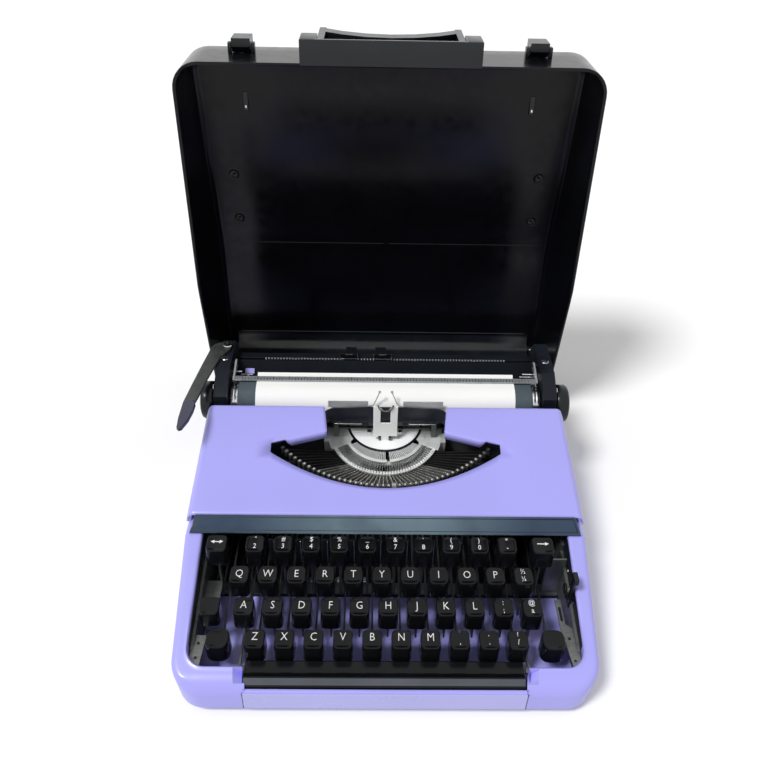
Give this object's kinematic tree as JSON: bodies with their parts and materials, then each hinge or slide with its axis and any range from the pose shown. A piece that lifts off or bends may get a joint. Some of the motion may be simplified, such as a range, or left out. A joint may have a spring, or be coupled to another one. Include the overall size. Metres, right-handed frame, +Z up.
{
  "type": "portable typewriter",
  "caption": "Portable manual typewriter in a lavender metal base, with black keys, a moving carriage and its hinged carrying-case lid standing open behind.",
  "frame": {"origin": "middle of the flat underside of the base pan, 6 mm above the table that its four feet stand on", "axes": "+X to the typist's right, +Y away from the typist towards the lid, +Z up"},
  "size_m": [0.318, 0.3906, 0.3451],
  "materials": {
    "paint": "satin lavender enamel",
    "black_gloss": "gloss black",
    "smoked": "smoky blue-black gloss",
    "lid_black": "fine-grained black",
    "grey_steel": "dull grey plate",
    "nickel": "bright nickel plate",
    "black_metal": "satin black",
    "platen_rubber": "dull slate rubber",
    "ribbon_cloth": "inked cloth",
    "lever_grey": "satin dark grey"
  },
  "bodies": {
    "base": {"base_pan": "paint", "chassis": "grey_steel", "segment": "nickel", "type_bars": "nickel", "ink_ribbon": "ribbon_cloth"},
    "hinge_rod": {"hinge_rod": "grey_steel"},
    "lid": {"lid_shell": "lid_black"},
    "handle": {"lid_handle": "black_gloss"},
    "latch_left": {"latch_left": "black_metal"},
    "latch_right": {"latch_right": "black_metal"},
    "carriage_slide": {"carriage_slide": "grey_steel", "margin_rail": "black_metal"},
    "carriage_frame": {"carriage_frame": "black_metal", "paper_table": "black_metal"},
    "platen": {"platen": "platen_rubber", "knob_left": "black_gloss", "knob_right": "black_gloss"},
    "paper_bail": {"paper_bail": "nickel"},
    "return_lever": {"return_lever": "lever_grey"},
    "margin_stop_left": {"margin_stop_left": "black_gloss"},
    "margin_stop_right": {"margin_stop_right": "black_gloss"},
    "ribbon_cover": {"ribbon_cover": "paint", "name_strip": "smoked"},
    "spool_left": {"spool_left": "black_metal"},
    "spool_right": {"spool_right": "black_metal"},
    "ribbon_vibrator": {"ribbon_vibrator": "nickel"},
    "type_bar_h": {"type_bar_h": "nickel"},
    "ribbon_selector": {"ribbon_selector": "black_gloss"},
    "space_bar": {"space_bar": "black_gloss"},
    "shift_keys": {"shift_keys": "black_gloss"},
    "shift_lock_key": {"shift_lock_key": "black_gloss"},
    "margin_release_key": {"margin_release_key": "black_gloss"},
    "backspace_key": {"backspace_key": "black_gloss"},
    "figure_and_mark_keys": {"figure_and_mark_keys": "black_gloss"},
    "key_q": {"key_q": "black_gloss"},
    "key_w": {"key_w": "black_gloss"},
    "key_e": {"key_e": "black_gloss"},
    "key_r": {"key_r": "black_gloss"},
    "key_t": {"key_t": "black_gloss"},
    "key_y": {"key_y": "black_gloss"},
    "key_u": {"key_u": "black_gloss"},
    "key_i": {"key_i": "black_gloss"},
    "key_o": {"key_o": "black_gloss"},
    "key_p": {"key_p": "black_gloss"},
    "key_a": {"key_a": "black_gloss"},
    "key_s": {"key_s": "black_gloss"},
    "key_d": {"key_d": "black_gloss"},
    "key_f": {"key_f": "black_gloss"},
    "key_g": {"key_g": "black_gloss"},
    "key_h": {"key_h": "black_gloss"},
    "key_j": {"key_j": "black_gloss"},
    "key_k": {"key_k": "black_gloss"},
    "key_l": {"key_l": "black_gloss"},
    "key_z": {"key_z": "black_gloss"},
    "key_x": {"key_x": "black_gloss"},
    "key_c": {"key_c": "black_gloss"},
    "key_v": {"key_v": "black_gloss"},
    "key_b": {"key_b": "black_gloss"},
    "key_n": {"key_n": "black_gloss"},
    "key_m": {"key_m": "black_gloss"}
  },
  "joints": [
    {"name": "lid_lift_off", "type": "slide", "parent": "base", "child": "hinge_rod", "axis": [0, 0, 1], "range_m": [0, 0.12]},
    {"name": "lid_swing", "type": "hinge", "parent": "hinge_rod", "child": "lid", "pos_m": [0, 0.15, 0.024], "axis": [1, 0, 0], "range_deg": [0, 93.2]},
    {"name": "handle_swing", "type": "hinge", "parent": "lid", "child": "handle", "pos_m": [0, 0.17335, 0.33418], "axis": [1, 0, 0], "range_deg": [0, 95]},
    {"name": "latch_left_flip", "type": "hinge", "parent": "lid", "child": "latch_left", "pos_m": [-0.1108, 0.19739, 0.32532], "axis": [1, 0, 0], "range_deg": [0, 40], "stiffness_Nm_per_rad": 0.02, "springref_deg": -11.46},
    {"name": "latch_right_flip", "type": "hinge", "parent": "lid", "child": "latch_right", "pos_m": [0.1108, 0.19739, 0.32532], "axis": [1, 0, 0], "range_deg": [0, 40], "stiffness_Nm_per_rad": 0.02, "springref_deg": -11.46},
    {"name": "carriage_travel", "type": "slide", "parent": "base", "child": "carriage_slide", "axis": [1, 0, 0], "range_m": [-0.105, 0.105]},
    {"name": "carriage_shift", "type": "slide", "parent": "carriage_slide", "child": "carriage_frame", "axis": [0, 0, 1], "range_m": [0, 0.0064]},
    {"name": "platen_turn", "type": "hinge", "parent": "carriage_frame", "child": "platen", "pos_m": [0, 0.087, 0.0761], "axis": [1, 0, 0], "continuous": true},
    {"name": "paper_bail_swing", "type": "hinge", "parent": "carriage_frame", "child": "paper_bail", "pos_m": [0, 0.11, 0.0975], "axis": [-1, 0, 0], "range_deg": [0, 70]},
    {"name": "return_lever_swing", "type": "hinge", "parent": "carriage_frame", "child": "return_lever", "pos_m": [-0.1328, 0.126, 0.1023], "axis": [0, 0, 1], "range_deg": [0, 28], "stiffness_Nm_per_rad": 0.05, "springref_deg": -17.19},
    {"name": "margin_stop_left_slide", "type": "slide", "parent": "carriage_slide", "child": "margin_stop_left", "axis": [1, 0, 0], "range_m": [-0.085, 0.012]},
    {"name": "margin_stop_right_slide", "type": "slide", "parent": "carriage_slide", "child": "margin_stop_right", "axis": [1, 0, 0], "range_m": [-0.012, 0.11]},
    {"name": "ribbon_cover_lift", "type": "slide", "parent": "base", "child": "ribbon_cover", "axis": [0, 0, -1], "range_m": [-0.06, 0]},
    {"name": "spool_left_turn", "type": "hinge", "parent": "base", "child": "spool_left", "pos_m": [-0.103, 0.023, 0.057], "axis": [0, 0, 1], "continuous": true},
    {"name": "spool_right_turn", "type": "hinge", "parent": "base", "child": "spool_right", "pos_m": [0.103, 0.023, 0.057], "axis": [0, 0, 1], "continuous": true},
    {"name": "ribbon_selector_rock", "type": "hinge", "parent": "base", "child": "ribbon_selector", "pos_m": [0.1338, -0.066, 0.03], "axis": [1, 0, 0], "range_deg": [-12, 12]},
    {"name": "space_bar_press", "type": "hinge", "parent": "base", "child": "space_bar", "pos_m": [0, 0.058, 0.02], "axis": [1, 0, 0], "range_deg": [0, 2.2], "stiffness_Nm_per_rad": 0.8, "springref_deg": -17.19},
    {"name": "shift_press", "type": "hinge", "parent": "base", "child": "shift_keys", "pos_m": [0, 0.058, 0.02], "axis": [1, 0, 0], "range_deg": [0, 4]},
    {"name": "shift_lock_press", "type": "hinge", "parent": "base", "child": "shift_lock_key", "pos_m": [-0.123, 0.058, 0.02], "axis": [1, 0, 0], "range_deg": [0, 4], "stiffness_Nm_per_rad": 0.1, "springref_deg": -17.19},
    {"name": "margin_release_press", "type": "hinge", "parent": "base", "child": "margin_release_key", "pos_m": [-0.1177, 0.058, 0.02], "axis": [1, 0, 0], "range_deg": [0, 4], "stiffness_Nm_per_rad": 0.1, "springref_deg": -17.19},
    {"name": "backspace_press", "type": "hinge", "parent": "base", "child": "backspace_key", "pos_m": [0.1091, 0.058, 0.02], "axis": [1, 0, 0], "range_deg": [0, 4], "stiffness_Nm_per_rad": 0.1, "springref_deg": -17.19},
    {"name": "figure_and_mark_press", "type": "hinge", "parent": "base", "child": "figure_and_mark_keys", "pos_m": [0, 0.058, 0.02], "axis": [1, 0, 0], "range_deg": [0, 4], "stiffness_Nm_per_rad": 0.8, "springref_deg": -17.19},
    {"name": "key_h_press", "type": "hinge", "parent": "base", "child": "key_h", "pos_m": [0, 0.058, 0.02], "axis": [1, 0, 0], "range_deg": [0, 4], "stiffness_Nm_per_rad": 0.1, "springref_deg": -17.19},
    {"name": "type_bar_h_swing", "type": "hinge", "parent": "base", "child": "type_bar_h", "pos_m": [0.00303, 0.0397, 0.03812], "axis": [-0.9964, -0.0833, -0.0122], "range_deg": [0, 84.6]},
    {"name": "ribbon_vibrator_lift", "type": "slide", "parent": "base", "child": "ribbon_vibrator", "axis": [0, 0, 1], "range_m": [0, 0.006]},
    {"name": "key_q_press", "type": "hinge", "parent": "base", "child": "key_q", "pos_m": [0, 0.058, 0.02], "axis": [1, 0, 0], "range_deg": [0, 4], "stiffness_Nm_per_rad": 0.1, "springref_deg": -17.19},
    {"name": "key_w_press", "type": "hinge", "parent": "base", "child": "key_w", "pos_m": [0, 0.058, 0.02], "axis": [1, 0, 0], "range_deg": [0, 4], "stiffness_Nm_per_rad": 0.1, "springref_deg": -17.19},
    {"name": "key_e_press", "type": "hinge", "parent": "base", "child": "key_e", "pos_m": [0, 0.058, 0.02], "axis": [1, 0, 0], "range_deg": [0, 4], "stiffness_Nm_per_rad": 0.1, "springref_deg": -17.19},
    {"name": "key_r_press", "type": "hinge", "parent": "base", "child": "key_r", "pos_m": [0, 0.058, 0.02], "axis": [1, 0, 0], "range_deg": [0, 4], "stiffness_Nm_per_rad": 0.1, "springref_deg": -17.19},
    {"name": "key_t_press", "type": "hinge", "parent": "base", "child": "key_t", "pos_m": [0, 0.058, 0.02], "axis": [1, 0, 0], "range_deg": [0, 4], "stiffness_Nm_per_rad": 0.1, "springref_deg": -17.19},
    {"name": "key_y_press", "type": "hinge", "parent": "base", "child": "key_y", "pos_m": [0, 0.058, 0.02], "axis": [1, 0, 0], "range_deg": [0, 4], "stiffness_Nm_per_rad": 0.1, "springref_deg": -17.19},
    {"name": "key_u_press", "type": "hinge", "parent": "base", "child": "key_u", "pos_m": [0, 0.058, 0.02], "axis": [1, 0, 0], "range_deg": [0, 4], "stiffness_Nm_per_rad": 0.1, "springref_deg": -17.19},
    {"name": "key_i_press", "type": "hinge", "parent": "base", "child": "key_i", "pos_m": [0, 0.058, 0.02], "axis": [1, 0, 0], "range_deg": [0, 4], "stiffness_Nm_per_rad": 0.1, "springref_deg": -17.19},
    {"name": "key_o_press", "type": "hinge", "parent": "base", "child": "key_o", "pos_m": [0, 0.058, 0.02], "axis": [1, 0, 0], "range_deg": [0, 4], "stiffness_Nm_per_rad": 0.1, "springref_deg": -17.19},
    {"name": "key_p_press", "type": "hinge", "parent": "base", "child": "key_p", "pos_m": [0, 0.058, 0.02], "axis": [1, 0, 0], "range_deg": [0, 4], "stiffness_Nm_per_rad": 0.1, "springref_deg": -17.19},
    {"name": "key_a_press", "type": "hinge", "parent": "base", "child": "key_a", "pos_m": [0, 0.058, 0.02], "axis": [1, 0, 0], "range_deg": [0, 4], "stiffness_Nm_per_rad": 0.1, "springref_deg": -17.19},
    {"name": "key_s_press", "type": "hinge", "parent": "base", "child": "key_s", "pos_m": [0, 0.058, 0.02], "axis": [1, 0, 0], "range_deg": [0, 4], "stiffness_Nm_per_rad": 0.1, "springref_deg": -17.19},
    {"name": "key_d_press", "type": "hinge", "parent": "base", "child": "key_d", "pos_m": [0, 0.058, 0.02], "axis": [1, 0, 0], "range_deg": [0, 4], "stiffness_Nm_per_rad": 0.1, "springref_deg": -17.19},
    {"name": "key_f_press", "type": "hinge", "parent": "base", "child": "key_f", "pos_m": [0, 0.058, 0.02], "axis": [1, 0, 0], "range_deg": [0, 4], "stiffness_Nm_per_rad": 0.1, "springref_deg": -17.19},
    {"name": "key_g_press", "type": "hinge", "parent": "base", "child": "key_g", "pos_m": [0, 0.058, 0.02], "axis": [1, 0, 0], "range_deg": [0, 4], "stiffness_Nm_per_rad": 0.1, "springref_deg": -17.19},
    {"name": "key_j_press", "type": "hinge", "parent": "base", "child": "key_j", "pos_m": [0, 0.058, 0.02], "axis": [1, 0, 0], "range_deg": [0, 4], "stiffness_Nm_per_rad": 0.1, "springref_deg": -17.19},
    {"name": "key_k_press", "type": "hinge", "parent": "base", "child": "key_k", "pos_m": [0, 0.058, 0.02], "axis": [1, 0, 0], "range_deg": [0, 4], "stiffness_Nm_per_rad": 0.1, "springref_deg": -17.19},
    {"name": "key_l_press", "type": "hinge", "parent": "base", "child": "key_l", "pos_m": [0, 0.058, 0.02], "axis": [1, 0, 0], "range_deg": [0, 4], "stiffness_Nm_per_rad": 0.1, "springref_deg": -17.19},
    {"name": "key_z_press", "type": "hinge", "parent": "base", "child": "key_z", "pos_m": [0, 0.058, 0.02], "axis": [1, 0, 0], "range_deg": [0, 4], "stiffness_Nm_per_rad": 0.1, "springref_deg": -17.19},
    {"name": "key_x_press", "type": "hinge", "parent": "base", "child": "key_x", "pos_m": [0, 0.058, 0.02], "axis": [1, 0, 0], "range_deg": [0, 4], "stiffness_Nm_per_rad": 0.1, "springref_deg": -17.19},
    {"name": "key_c_press", "type": "hinge", "parent": "base", "child": "key_c", "pos_m": [0, 0.058, 0.02], "axis": [1, 0, 0], "range_deg": [0, 4], "stiffness_Nm_per_rad": 0.1, "springref_deg": -17.19},
    {"name": "key_v_press", "type": "hinge", "parent": "base", "child": "key_v", "pos_m": [0, 0.058, 0.02], "axis": [1, 0, 0], "range_deg": [0, 4], "stiffness_Nm_per_rad": 0.1, "springref_deg": -17.19},
    {"name": "key_b_press", "type": "hinge", "parent": "base", "child": "key_b", "pos_m": [0, 0.058, 0.02], "axis": [1, 0, 0], "range_deg": [0, 4], "stiffness_Nm_per_rad": 0.1, "springref_deg": -17.19},
    {"name": "key_n_press", "type": "hinge", "parent": "base", "child": "key_n", "pos_m": [0, 0.058, 0.02], "axis": [1, 0, 0], "range_deg": [0, 4], "stiffness_Nm_per_rad": 0.1, "springref_deg": -17.19},
    {"name": "key_m_press", "type": "hinge", "parent": "base", "child": "key_m", "pos_m": [0, 0.058, 0.02], "axis": [1, 0, 0], "range_deg": [0, 4], "stiffness_Nm_per_rad": 0.1, "springref_deg": -17.19}
  ],
  "couplings": [
    {"joint": "shift_press", "follows": "carriage_shift", "rad_per_m": 10.908},
    {"joint": "type_bar_h_swing", "follows": "key_h_press", "ratio": 21.15},
    {"joint": "ribbon_vibrator_lift", "follows": "key_h_press", "m_per_rad": 0.085943}
  ]
}
